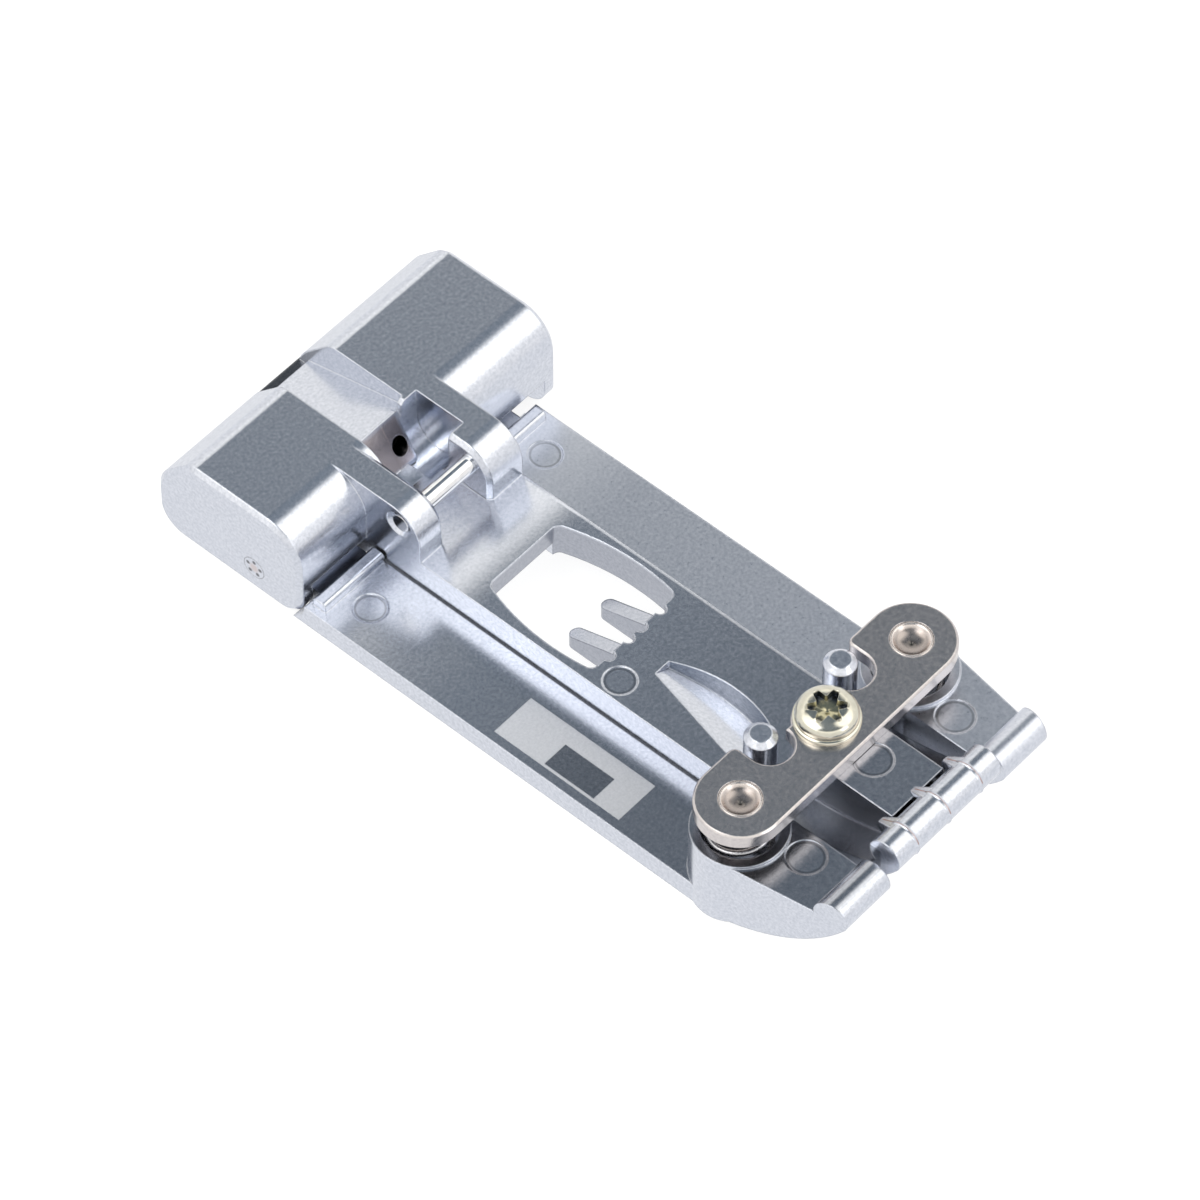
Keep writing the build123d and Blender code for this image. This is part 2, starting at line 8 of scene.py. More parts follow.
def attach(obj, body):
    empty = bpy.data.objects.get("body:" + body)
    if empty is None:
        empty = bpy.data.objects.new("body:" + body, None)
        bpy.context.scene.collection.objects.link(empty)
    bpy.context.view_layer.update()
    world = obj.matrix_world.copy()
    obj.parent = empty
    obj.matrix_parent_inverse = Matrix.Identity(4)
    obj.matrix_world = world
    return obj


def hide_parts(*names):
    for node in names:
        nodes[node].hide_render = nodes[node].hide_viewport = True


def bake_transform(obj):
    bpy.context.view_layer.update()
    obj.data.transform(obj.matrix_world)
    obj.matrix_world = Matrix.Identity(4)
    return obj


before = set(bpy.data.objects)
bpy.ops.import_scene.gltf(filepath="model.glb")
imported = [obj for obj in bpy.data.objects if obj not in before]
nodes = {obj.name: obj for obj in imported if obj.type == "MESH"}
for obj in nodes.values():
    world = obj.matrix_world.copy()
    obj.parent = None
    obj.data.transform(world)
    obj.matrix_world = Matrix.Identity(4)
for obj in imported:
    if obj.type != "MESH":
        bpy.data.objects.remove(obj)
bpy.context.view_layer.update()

mm = 0.001
scene = bpy.context.scene
scene.view_settings.view_transform = "Standard"


def linkNew(tree, kind, inputs=None, **settings):
    # one shader node; inputs may be plain values or other nodes' outputs
    node = tree.nodes.new(kind)
    for key, value in settings.items():
        setattr(node, key, value)
    for key, value in (inputs or {}).items():
        if isinstance(value, bpy.types.NodeSocket):
            tree.links.new(value, node.inputs[key])
        else:
            node.inputs[key].default_value = value
    return node


def combine(tree, operation, first, second=0.0):
    return linkNew(tree, "ShaderNodeMath", {0: first, 1: second}, operation=operation).outputs[0]


def product(tree, first, second):
    return combine(tree, "MULTIPLY", first, second)


def blendColour(tree, factor, dark, light):
    mix = linkNew(tree, "ShaderNodeMix", {0: factor, 6: dark, 7: light}, data_type="RGBA")
    return mix.outputs[2]


def blendValue(tree, factor, low, high):
    return linkNew(tree, "ShaderNodeMix", {0: factor, 2: low, 3: high}, data_type="FLOAT").outputs[0]


def colourRamp(tree, value, stops):
    # colours at given values from 0 to 1, blended evenly in between
    node = linkNew(tree, "ShaderNodeValToRGB", {0: value})
    ramp = node.color_ramp
    ramp.interpolation = "LINEAR"
    while len(ramp.elements) < len(stops):
        ramp.elements.new(0.5)
    for element, (position, colour) in zip(ramp.elements, stops):
        element.position = position
        element.color = colour
    return node.outputs["Color"]


def grain(tree, place, size, detail=3.0, roughness=0.5):
    # noise whose patches are about that many metres across
    inputs = {"Vector": place, "Scale": 1 / size, "Detail": detail, "Roughness": roughness}
    return linkNew(tree, "ShaderNodeTexNoise", inputs).outputs["Fac"]


def span(tree, value, low, high, lowOut=0.0, highOut=1.0):
    ranged = linkNew(tree, "ShaderNodeMapRange", {0: value, 1: low, 2: high, 3: lowOut, 4: highOut})
    return ranged.outputs[0]


def insideBox(tree, axes, box, soft):
    # 1 between the box's low and high corners, fading over the soft distance
    total = None
    for axis, (start, end) in enumerate(zip(*box)):
        if start is None:
            continue
        rising = span(tree, axes[axis], start - soft, start + soft)
        falling = span(tree, axes[axis], end - soft, end + soft, 1.0, 0.0)
        both = product(tree, rising, falling)
        total = both if total is None else product(tree, total, both)
    return total


def distanceTo(tree, axes, plane, middle):
    # distance from a point, measured in two of the object's axes
    total = 0.0
    for axis, value in zip(plane, middle):
        away = combine(tree, "SUBTRACT", axes[axis], value)
        total = combine(tree, "ADD", total, product(tree, away, away))
    return combine(tree, "SQRT", total)


def makeObject(bm, name):
    # an object at the origin from a finished bmesh
    mesh = bpy.data.meshes.new(name)
    bm.to_mesh(mesh)
    bm.free()
    made = bpy.data.objects.new(name, mesh)
    scene.collection.objects.link(made)
    return made


# Camera, standing where the photograph was taken from
cameraSettings = {
    "azimuth": -48.741,
    "elevation": 52.354,
    "roll": 0.0935,
    "aim": Vector((2.352, -0.5419, 0.3251)) * mm,
    "distance": 415.79 * mm,
    "lens": 213.38,
    "sensor": 36.0,
}
cameraData = bpy.data.cameras.new("photoCamera")
cameraData.lens = cameraSettings["lens"]
cameraData.sensor_width = cameraSettings["sensor"]
camera = bpy.data.objects.new("photoCamera", cameraData)
scene.collection.objects.link(camera)
turn = (
    Matrix.Rotation(math.radians(cameraSettings["azimuth"]), 4, "Z")
    @ Matrix.Rotation(math.radians(90 - cameraSettings["elevation"]), 4, "X")
    @ Matrix.Rotation(math.radians(cameraSettings["roll"]), 4, "Z")
)
standsAt = cameraSettings["aim"] + turn.col[2].xyz * cameraSettings["distance"]
camera.matrix_world = Matrix.Translation(standsAt) @ turn
scene.camera = camera
print("camera placed")

# Studio: white round the horizon, a darker ceiling that the plated tops mirror
studio = {
    "glow": 1.42,
    "skyStops": (
        (0.0, (0.72, 0.71, 0.7, 1)),
        (0.45, (0.75, 0.74, 0.72, 1)),
        (0.58, (1.0, 0.98, 0.93, 1)),
        (0.672, (1.0, 0.98, 0.93, 1)),
        (0.715, (0.11, 0.135, 0.16, 1)),
        (0.745, (0.065, 0.08, 0.097, 1)),
        (0.79, (0.11, 0.137, 0.167, 1)),
        (0.9, (0.16, 0.19, 0.225, 1)),
    ),
    "softboxes": (Vector((-0.459, 0.4025, 0.792)), Vector((0.459, -0.4025, 0.792))),
    "softboxWhite": (1.35, 1.32, 1.25, 1),
    "softboxEdge": (0.885, 0.95),
    "floorGlow": 0.86,
    "floorColour": (0.25, 0.25, 0.25, 1),
    "floorHalf": 1.5,
    "floorTop": -0.01 * mm,
}
world = bpy.data.worlds.new("studio")
scene.world = world
world.use_nodes = True
tree = world.node_tree
tree.nodes.clear()
direction = linkNew(tree, "ShaderNodeTexCoord").outputs["Generated"]
height = linkNew(tree, "ShaderNodeSeparateXYZ", {0: direction}).outputs["Z"]
sky = colourRamp(tree, height, studio["skyStops"])
for towards in studio["softboxes"]:
    aligned = linkNew(tree, "ShaderNodeVectorMath", {0: direction, 1: towards}, operation="DOT_PRODUCT")
    softbox = span(tree, aligned.outputs["Value"], *studio["softboxEdge"])
    sky = blendColour(tree, softbox, sky, studio["softboxWhite"])
dome = linkNew(tree, "ShaderNodeBackground", {"Color": sky, "Strength": studio["glow"]})
backdrop = linkNew(tree, "ShaderNodeBackground", {"Color": (1, 1, 1, 1), "Strength": 1.0})
path = linkNew(tree, "ShaderNodeLightPath")
seen = combine(tree, "MAXIMUM", path.outputs["Is Camera Ray"], path.outputs["Is Transmission Ray"])
both = linkNew(tree, "ShaderNodeMixShader", {0: seen, 1: dome.outputs[0], 2: backdrop.outputs[0]})
linkNew(tree, "ShaderNodeOutputWorld", {"Surface": both.outputs[0]})

# Floor: white to the eye and in the metal, and it still takes a faint shadow
bm = bmesh.new()
bmesh.ops.create_grid(bm, x_segments=1, y_segments=1, size=studio["floorHalf"])
bmesh.ops.translate(bm, verts=bm.verts, vec=(0, 0, studio["floorTop"]))
floor = makeObject(bm, "floor")
paper = bpy.data.materials.new("paper")
paper.use_nodes = True
tree = paper.node_tree
tree.nodes.clear()
matte = linkNew(tree, "ShaderNodeBsdfDiffuse", {"Color": studio["floorColour"]})
glow = linkNew(tree, "ShaderNodeEmission", {"Strength": studio["floorGlow"]})
lit = linkNew(tree, "ShaderNodeAddShader", {0: matte.outputs[0], 1: glow.outputs[0]})
white = linkNew(tree, "ShaderNodeEmission", {"Strength": 1.0})
path = linkNew(tree, "ShaderNodeLightPath")
mirrored = combine(tree, "MAXIMUM", path.outputs["Is Glossy Ray"], path.outputs["Is Transmission Ray"])
both = linkNew(tree, "ShaderNodeMixShader", {0: mirrored, 1: lit.outputs[0], 2: white.outputs[0]})
linkNew(tree, "ShaderNodeOutputMaterial", {"Surface": both.outputs[0]})
floor.data.materials.append(paper)

# Soft lamps: a broad one high on the left and a smaller one beyond the toe
lamps = {
    "overheadLamp": {"at": (-0.42, 0.1, 0.6), "size": 0.4, "power": 0.8},
    "toeLamp": {"at": (0.1, -0.6, 0.3), "size": 0.25, "power": 0.3},
}
for name, lamp in lamps.items():
    lampData = bpy.data.lights.new(name, "AREA")
    lampData.size = lamp["size"]
    lampData.energy = lamp["power"]
    lampObject = bpy.data.objects.new(name, lampData)
    scene.collection.objects.link(lampObject)
    towards = Vector(lamp["at"])
    facing = towards.to_track_quat("Z", "Y").to_matrix().to_4x4()
    lampObject.matrix_world = Matrix.Translation(towards) @ facing
print("studio ready")


def castLook(**changes):
    # finish of a plated casting, from which the other metals differ by a few values
    look = {
        "dark": (0.57, 0.6, 0.67),
        "light": (0.7, 0.725, 0.795),
        "mottleSize": 0.2 * mm,
        "mottleSpan": (0.29, 0.71),
        "roughLow": 0.215,
        "roughHigh": 0.25,
        "roughSpan": (0.25, 0.75),
        "hollowReach": 1.6 * mm,
        "hollowSpan": (0.04, 0.3),
        "hollowShade": 0.25,
        "peelSize": 0.28 * mm,
        "peelStrength": 0.12,
        "peelDepth": 0.02 * mm,
        "edge": 0.14 * mm,
        "upwards": (0.8, 0.97),
    }
    look.update(changes)
    return look


def newMetal(name, look):
    # a plated or drawn metal; look names its tint, gloss, grain and edge, and the painted shade in its
    # hollows
    material = bpy.data.materials.new(name)
    material.use_nodes = True
    tree = material.node_tree
    tree.nodes.clear()
    place = linkNew(tree, "ShaderNodeTexCoord").outputs["Object"]
    axes = linkNew(tree, "ShaderNodeSeparateXYZ", {0: place}).outputs
    mottle = grain(tree, place, look["mottleSize"])
    peel = grain(tree, place, look["peelSize"], detail=2.0)
    speckle = span(tree, mottle, *look["mottleSpan"])
    colour = blendColour(tree, speckle, (*look["dark"], 1), (*look["light"], 1))
    # painted shade: the colour is darkened towards black in hollows and crevices, by ambient occlusion
    hollow = linkNew(tree, "ShaderNodeAmbientOcclusion", {"Distance": look["hollowReach"]}, samples=8)
    shadow = span(tree, hollow.outputs["AO"], *look["hollowSpan"], look["hollowShade"], 1.0)
    normal = linkNew(tree, "ShaderNodeNewGeometry").outputs["True Normal"]
    rising = linkNew(tree, "ShaderNodeSeparateXYZ", {0: normal}).outputs["Z"]
    parts = {
        "tree": tree,
        "place": place,
        "axes": axes,
        "colour": blendColour(tree, shadow, (0, 0, 0, 1), colour),
        "gloss": span(tree, mottle, *look["roughSpan"], look["roughLow"], look["roughHigh"]),
        "edge": linkNew(tree, "ShaderNodeBevel", {"Radius": look["edge"]}, samples=6).outputs[0],
        "upFace": span(tree, rising, *look["upwards"]),
    }
    if "finish" in look:
        look["finish"](parts)
    bump = linkNew(
        tree,
        "ShaderNodeBump",
        {
            "Strength": look["peelStrength"],
            "Distance": look["peelDepth"],
            "Height": peel,
            "Normal": parts["edge"],
        },
    )
    shader = linkNew(
        tree,
        "ShaderNodeBsdfPrincipled",
        {
            "Base Color": parts["colour"],
            "Metallic": 1.0,
            "Roughness": parts["gloss"],
            "Normal": bump.outputs[0],
        },
    )
    linkNew(tree, "ShaderNodeOutputMaterial", {"Surface": shader.outputs[0]})
    return material


def paint(parts, share, colour):
    parts["colour"] = blendColour(parts["tree"], share, parts["colour"], colour)


def shadeTops(parts, share):
    # darkens the upper faces alone, by a share from 0 to 1; it lays painted shade, and also dark marks that
    # the surface has
    paint(parts, product(parts["tree"], share, parts["upFace"]), (0, 0, 0, 1))


def leanSurface(parts, share, towards, everywhere=False):
    # tips the surface a little, as where a casting sinks; upper faces only unless told
    tree = parts["tree"]
    if not everywhere:
        share = product(tree, share, parts["upFace"])
    tip = linkNew(tree, "ShaderNodeVectorMath", {0: towards, "Scale": share}, operation="SCALE")
    inputs = {0: parts["edge"], 1: tip.outputs[0]}
    leaning = linkNew(tree, "ShaderNodeVectorMath", inputs, operation="ADD")
    upright = linkNew(tree, "ShaderNodeVectorMath", {0: leaning.outputs[0]}, operation="NORMALIZE")
    parts["edge"] = upright.outputs[0]


# Ejector marks: a bright line where the pin's round edge stands and a darker one inside it
ejectorRing = {
    "brightLine": (0.03 * mm, 0.11 * mm),
    "lean": (-0.02, 0.17, 0.0),
    "darkLine": (0.03 * mm, 0.1 * mm),
    "darkInside": 0.17 * mm,
    "shade": 0.35,
}


def drawEjectorRing(parts, middle, radius):
    tree = parts["tree"]
    away = distanceTo(tree, parts["axes"], ("X", "Y"), middle)
    offRing = combine(tree, "ABSOLUTE", combine(tree, "SUBTRACT", away, radius))
    leanSurface(parts, span(tree, offRing, *ejectorRing["brightLine"], 1.0, 0.0), ejectorRing["lean"])
    offRing = combine(tree, "ABSOLUTE", combine(tree, "SUBTRACT", away, radius - ejectorRing["darkInside"]))
    shadeTops(parts, span(tree, offRing, *ejectorRing["darkLine"], ejectorRing["shade"], 0.0))


def dress(nodeName, material):
    mesh = nodes[nodeName].data
    mesh.materials.clear()
    mesh.materials.append(material)


# Wall at the front of the groove, which the solid model leaves open beside its round hole
grooveWall = {
    "from": -0.02 * mm,
    "to": 1.35 * mm,
    "foot": (12.88 * mm, 3.645 * mm),
    "crest": (14.59 * mm, 6.46 * mm),
    "back": (15.2 * mm, 6.28 * mm),
    "bottom": 3.3 * mm,
    "hole": (0.6 * mm, 4.75 * mm),
    "holeRadius": 0.55 * mm,
    "holeSides": 48,
    "drillMiddle": 13.5 * mm,
    "drillLength": 3 * mm,
}

# Needle marks: a reddish line over the toe's roll for each needle
needleMarks = {
    "pitch": 2.8 * mm,
    "half": 0.04 * mm,
    "from": -29.2 * mm,
    "to": -26.0 * mm,
    "bottom": 7.2 * mm,
    "top": 9 * mm,
    "soft": 0.03 * mm,
    "fade": (7.2 * mm, 7.8 * mm),
    "tint": (0.9, 0.5),
    "colour": (0.4, 0.24, 0.2, 1),
}

# Centre casting; each box is a low and a high corner
centreTone = {
    "plateTop": ((None, -30 * mm, 3.5 * mm), (None, 11.6 * mm, 3.8 * mm)),
    "glowAlong": (2.4 * mm, 7.4 * mm),
    "glowLean": (0.0, 0.3, 0.0),
    "wornEdge": ((4.25 * mm, -18.5 * mm, 3.45 * mm), (4.6 * mm, 9.0 * mm, 3.8 * mm)),
    "wornLean": (0.0, 0.11, 0.0),
    "scoop": ((-3.3 * mm, -15.9 * mm, 1.5 * mm), (0.8 * mm, -8.2 * mm, 3.6 * mm)),
    "scoopLean": (-0.22, 0.02, 0.1),
    "opening": ((-4.0 * mm, -5.8 * mm, None), (4.0 * mm, 3.4 * mm, None)),
    "openingFade": (3.45 * mm, 3.6 * mm),
    "openingShade": 0.4,
    "openingShadeColour": (0.02, 0.03, 0.06, 1),
    "wall": ((-2.0 * mm, 12.8 * mm, 3.7 * mm), (1.2 * mm, 14.5 * mm, 6.4 * mm)),
    "wallSoft": 0.1 * mm,
    "wallShade": 0.85,
    "wallShadeColour": (0.4, 0.345, 0.345, 1),
    "hole": ((None, 13.0 * mm, None), (None, 17 * mm, None)),
    "holeSoft": 0.01 * mm,
    "holeRim": (0.56 * mm, 0.58 * mm),
    "holeShade": 0.95,
    "holeShadeColour": (0.01, 0.01, 0.012, 1),
    "ledge": ((None, 22.25 * mm, 3.8 * mm), (None, 24 * mm, 4.0 * mm)),
    "ledgeShade": 0.75,
    "toeAlong": (-20 * mm, 2 * mm),
    "toeShade": 0.3,
    "postFade": (7.6 * mm, 8.0 * mm),
    "besideToe": ((2.35 * mm, -27.4 * mm, 3.0 * mm), (5.3 * mm, -20.0 * mm, 6.95 * mm)),
    "besideShade": 0.5,
    "besideShadeColour": (0.02, 0.03, 0.04, 1),
    "soft": 0.02 * mm,
    "wideSoft": 0.05 * mm,
    "ejectorMarks": (((-3.2 * mm, -6.94 * mm), 1.03 * mm), ((0.1 * mm, -23.0 * mm), 1.2 * mm)),
}


def finishCentre(parts):
    tree, axes, tone = parts["tree"], parts["axes"], centreTone
    plateTop = insideBox(tree, axes, tone["plateTop"], tone["soft"])
    glow = product(tree, span(tree, axes["Y"], *tone["glowAlong"]), plateTop)
    leanSurface(parts, glow, tone["glowLean"])
    # bright worn line along the plate's right edge
    leanSurface(parts, insideBox(tree, axes, tone["wornEdge"], tone["wideSoft"]), tone["wornLean"])
    scoop = insideBox(tree, axes, tone["scoop"], tone["soft"])
    leanSurface(parts, scoop, tone["scoopLean"], everywhere=True)
    shadeOpeningWalls(parts)
    shadeGrooveWallAndHole(parts)
    # painted shade on the ledge at the rear of the groove
    ledge = insideBox(tree, axes, tone["ledge"], tone["soft"])
    shadeTops(parts, product(tree, ledge, tone["ledgeShade"]))
    # painted shade: the upper faces darken towards the toe, below the posts
    toeward = span(tree, axes["Y"], *tone["toeAlong"], tone["toeShade"], 0.0)
    belowPosts = span(tree, axes["Z"], *tone["postFade"], 1.0, 0.0)
    shadeTops(parts, product(tree, toeward, belowPosts))
    # painted shade: the hollows on both sides of the raised toe are darkened towards blue-black
    mirrored = (combine(tree, "ABSOLUTE", axes["X"]), axes["Y"], axes["Z"])
    besideShadeMask = insideBox(tree, mirrored, tone["besideToe"], tone["wideSoft"])
    paint(parts, product(tree, besideShadeMask, tone["besideShade"]), tone["besideShadeColour"])
    for middle, radius in tone["ejectorMarks"]:
        drawEjectorRing(parts, middle, radius)
    paintNeedleMarks(parts)


def shadeOpeningWalls(parts):
    # painted shade: the steep sides of the opening and its fingers are darkened towards blue-black, as they
    # hold less of the floor's white
    tree, axes, tone = parts["tree"], parts["axes"], centreTone
    inside = insideBox(tree, axes, tone["opening"], tone["soft"])
    inside = product(tree, inside, span(tree, axes["Z"], *tone["openingFade"], tone["openingShade"], 0.0))
    steep = combine(tree, "SUBTRACT", 1.0, parts["upFace"])
    paint(parts, product(tree, inside, steep), tone["openingShadeColour"])


def shadeGrooveWallAndHole(parts):
    # painted shade: the wall at the front of the groove is darkened to a warmer tone, and its hole is painted
    # near black
    tree, axes, tone = parts["tree"], parts["axes"], centreTone
    wall = insideBox(tree, axes, tone["wall"], tone["wallSoft"])
    paint(parts, product(tree, wall, tone["wallShade"]), tone["wallShadeColour"])
    # painted shade inside the hole, near black
    away = distanceTo(tree, axes, ("X", "Z"), grooveWall["hole"])
    hole = span(tree, away, *tone["holeRim"], tone["holeShade"], 0.0)
    hole = product(tree, hole, insideBox(tree, axes, tone["hole"], tone["holeSoft"]))
    paint(parts, hole, tone["holeShadeColour"])


def paintNeedleMarks(parts):
    tree, axes = parts["tree"], parts["axes"]
    for needle in (-1, 0, 1):
        middle = needle * needleMarks["pitch"]
        low = (middle - needleMarks["half"], needleMarks["from"], needleMarks["bottom"])
        high = (middle + needleMarks["half"], needleMarks["to"], needleMarks["top"])
        line = insideBox(tree, axes, (low, high), needleMarks["soft"])
        warm = span(tree, axes["Z"], *needleMarks["fade"], *needleMarks["tint"])
        paint(parts, product(tree, line, warm), needleMarks["colour"])


castCentre = newMetal("castCentre", castLook(finish=finishCentre))
dress("centre_body", castCentre)
print("centre casting dressed")


def buildWallBlock():
    # the wall's side outline, drawn across the groove
    wall = grooveWall
    rear = (wall["back"][0], wall["bottom"])
    front = (wall["foot"][0], wall["bottom"])
    outline = [wall["foot"], wall["crest"], wall["back"], rear, front]
    bm = bmesh.new()
    face = bm.faces.new([bm.verts.new((wall["from"], y, z)) for y, z in outline])
    raised = bmesh.ops.extrude_face_region(bm, geom=[face])
    raisedVerts = [g for g in raised["geom"] if isinstance(g, bmesh.types.BMVert)]
    bmesh.ops.translate(bm, verts=raisedVerts, vec=(wall["to"] - wall["from"], 0, 0))
    bmesh.ops.recalc_face_normals(bm, faces=bm.faces)
    return makeObject(bm, "wallBlock")


def buildDrill():
    holeX, holeZ = grooveWall["hole"]
    middle = Matrix.Translation((holeX, grooveWall["drillMiddle"], holeZ))
    bm = bmesh.new()
    bmesh.ops.create_cone(
        bm,
        cap_ends=True,
        segments=grooveWall["holeSides"],
        radius1=grooveWall["holeRadius"],
        radius2=grooveWall["holeRadius"],
        depth=grooveWall["drillLength"],
        matrix=middle @ Matrix.Rotation(math.radians(90), 4, "X"),
    )
    return makeObject(bm, "wallDrill")


block = buildWallBlock()
drill = buildDrill()
cut = block.modifiers.new("drilled", "BOOLEAN")
cut.operation = "DIFFERENCE"
cut.object = drill
bpy.context.view_layer.update()
bored = bpy.data.meshes.new_from_object(block.evaluated_get(bpy.context.evaluated_depsgraph_get()))
for spare in (block, drill):
    bpy.data.objects.remove(spare)
bored.materials.clear()
bored.materials.append(castCentre)
piece = bpy.data.objects.new("groove_wall", bored)
scene.collection.objects.link(piece)
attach(piece, "foot")
print("groove wall bored")

# Lugs of the needle marks: flat wedges that climb from the raised toe to its roll
markLug = {
    "rear": (-25.95 * mm, 0.2 * mm, 7.1 * mm),
    "front": (-27.1 * mm, 0.5 * mm, 7.74 * mm),
    "bottom": 6.7 * mm,
    "shoulder": 1.5,
    "round": 0.05 * mm,
}
for needle in (-1, 0, 1):
    bm = bmesh.new()
    bmesh.ops.create_cube(bm, size=2.0)
    for vert in bm.verts:
        y, half, top = markLug["rear"] if vert.co.y > 0 else markLug["front"]
        raised = vert.co.z > 0
        reach = half if raised else half * markLug["shoulder"]
        vert.co = (needle * needleMarks["pitch"] + vert.co.x * reach, y, top if raised else markLug["bottom"])
    bmesh.ops.bevel(
        bm,
        geom=bm.edges[:],
        offset=markLug["round"],
        segments=2,
        profile=0.5,
        material=-1,
        affect="EDGES",
    )
    lug = makeObject(bm, "needle_mark_lug_%d" % (needle + 2))
    lug.data.materials.append(castCentre)
    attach(lug, "foot")
print("needle mark lugs placed")

# Left sole, lighter towards the heel by a tipped surface and darker towards the toe by painted shade
flangeTone = {
    "glowAlong": (0.0, 9 * mm),
    "lean": (0.0, 0.1, 0.0),
    "toeAlong": (-14 * mm, 4 * mm),
    "shade": 0.35,
    "ejectorMarks": (((-7.65 * mm, 8.45 * mm), 1.07 * mm), ((-6.55 * mm, -23.74 * mm), 1.2 * mm)),
}

# Matte index patch beside the plate, with a plain dark square and a brighter wedge
indexPatch = {
    "box": ((-9.53 * mm, -12.4 * mm, 1.5 * mm), (-6.37 * mm, -2.92 * mm, 2.0 * mm)),
    "darkBox": ((-9.36 * mm, -10.35 * mm, 1.5 * mm), (-7.53 * mm, -6.6 * mm, 2.0 * mm)),
    "soft": 0.03 * mm,
    "speckle": 0.12 * mm,
    "speckleSpan": (0.3, 0.7),
    "rubbedGloss": (0.5, 0.7),
    "rubbedTone": (0.86, 1.14),
    "darkShade": (0.15, 0.4),
    "wedgeAlong": (-2.92 * mm, -6.6 * mm),
    "wedgeSoft": 0.15 * mm,
    "wedgeEndSoft": 0.1 * mm,
    "lean": (0.0, 0.12, 0.0),
    "wedgeLean": (0.0, 0.06, 0.0),
    "pale": 0.35,
    "paleColour": (0.97, 0.98, 1.0, 1),
}


def finishFlange(parts):
    tree, along = parts["tree"], parts["axes"]["Y"]
    leanSurface(parts, span(tree, along, *flangeTone["glowAlong"]), flangeTone["lean"])
    # painted shade: the upper faces darken towards the toe
    shadeTops(parts, span(tree, along, *flangeTone["toeAlong"], flangeTone["shade"], 0.0))
    for middle, radius in flangeTone["ejectorMarks"]:
        drawEjectorRing(parts, middle, radius)
    rubIndexPatch(parts)


def rubIndexPatch(parts):
    tree, axes = parts["tree"], parts["axes"]
    patch = insideBox(tree, axes, indexPatch["box"], indexPatch["soft"])
    dark = insideBox(tree, axes, indexPatch["darkBox"], indexPatch["soft"])
    bare = combine(tree, "SUBTRACT", 1.0, dark)
    matte = product(tree, patch, bare)
    # the wedge widens along the patch's inner long edge up to the dark square, and goes on beside it
    innerEdge, darkEdge = indexPatch["box"][1][0], indexPatch["darkBox"][1][0]
    slant = span(tree, axes["Y"], *indexPatch["wedgeAlong"], innerEdge, darkEdge)
    inner = span(tree, combine(tree, "SUBTRACT", axes["X"], slant), 0.0, indexPatch["wedgeSoft"])
    wedgeEnd = indexPatch["darkBox"][0][1]
    endSoft = indexPatch["wedgeEndSoft"]
    behind = span(tree, axes["Y"], wedgeEnd - endSoft, wedgeEnd + endSoft)
    wedge = product(tree, product(tree, inner, behind), patch)
    speckle = grain(tree, parts["place"], indexPatch["speckle"], detail=4.0)
    rubbed = span(tree, speckle, *indexPatch["speckleSpan"], *indexPatch["rubbedGloss"])
    parts["gloss"] = blendValue(tree, matte, parts["gloss"], rubbed)
    tone = span(tree, speckle, *indexPatch["speckleSpan"], *indexPatch["rubbedTone"])
    leanSurface(parts, product(tree, matte, tone), indexPatch["lean"])
    leanSurface(parts, product(tree, wedge, bare), indexPatch["wedgeLean"])
    paint(parts, product(tree, matte, indexPatch["pale"]), indexPatch["paleColour"])
    worn = span(tree, speckle, *indexPatch["speckleSpan"], *indexPatch["darkShade"])
    shadeTops(parts, product(tree, dark, worn))


dress("left_sole", newMetal("castLeft", castLook(finish=finishFlange)))

# Right sole, a shade duller
rightTone = {
    "lean": (0.0, 0.018, 0.0),
    "glowAlong": (3 * mm, 10 * mm),
    "glowLean": (0.0, 0.09, 0.0),
    "rough": (0.27, 0.33),
    "ejectorMarks": (((7.65 * mm, 8.45 * mm), 1.07 * mm), ((6.55 * mm, -23.74 * mm), 1.2 * mm)),
}


def finishRight(parts):
    leanSurface(parts, 1.0, rightTone["lean"])
    glow = span(parts["tree"], parts["axes"]["Y"], *rightTone["glowAlong"])
    leanSurface(parts, glow, rightTone["glowLean"])
    for middle, radius in rightTone["ejectorMarks"]:
        drawEjectorRing(parts, middle, radius)


roughLow, roughHigh = rightTone["rough"]
castRight = castLook(roughLow=roughLow, roughHigh=roughHigh, finish=finishRight)
dress("right_sole", newMetal("castRight", castRight))
print("soles dressed")

# Ankle pin: polished steel
ankleLook = castLook(
    dark=(0.72, 0.73, 0.75),
    light=(0.86, 0.86, 0.87),
    roughLow=0.08,
    roughHigh=0.16,
    peelStrength=0.03,
    edge=0.06 * mm,
)
dress("ankle_pin", newMetal("pinSteel", ankleLook))

# Hinge pins: their ends are staked, with small punch marks drawn as dots of painted shade, round a warm
# middle
stakedEnd = {
    "middle": (15.36 * mm, 1.93 * mm),
    "warm": (0.2 * mm, 0.45 * mm),
    "warmTint": 0.6,
    "warmColour": (0.62, 0.5, 0.47, 1),
    "ring": 0.5 * mm,
    "dots": 5,
    "firstDot": 0.3,
    "dot": (0.102 * mm, 0.17 * mm),
    "dotShade": 0.85,
    "dotShadeColour": (0.08, 0.08, 0.09, 1),
    "rim": (0.74 * mm, 0.79 * mm),
    "rimTint": 0.7,
    "rimColour": (0.1, 0.11, 0.13, 1),
}


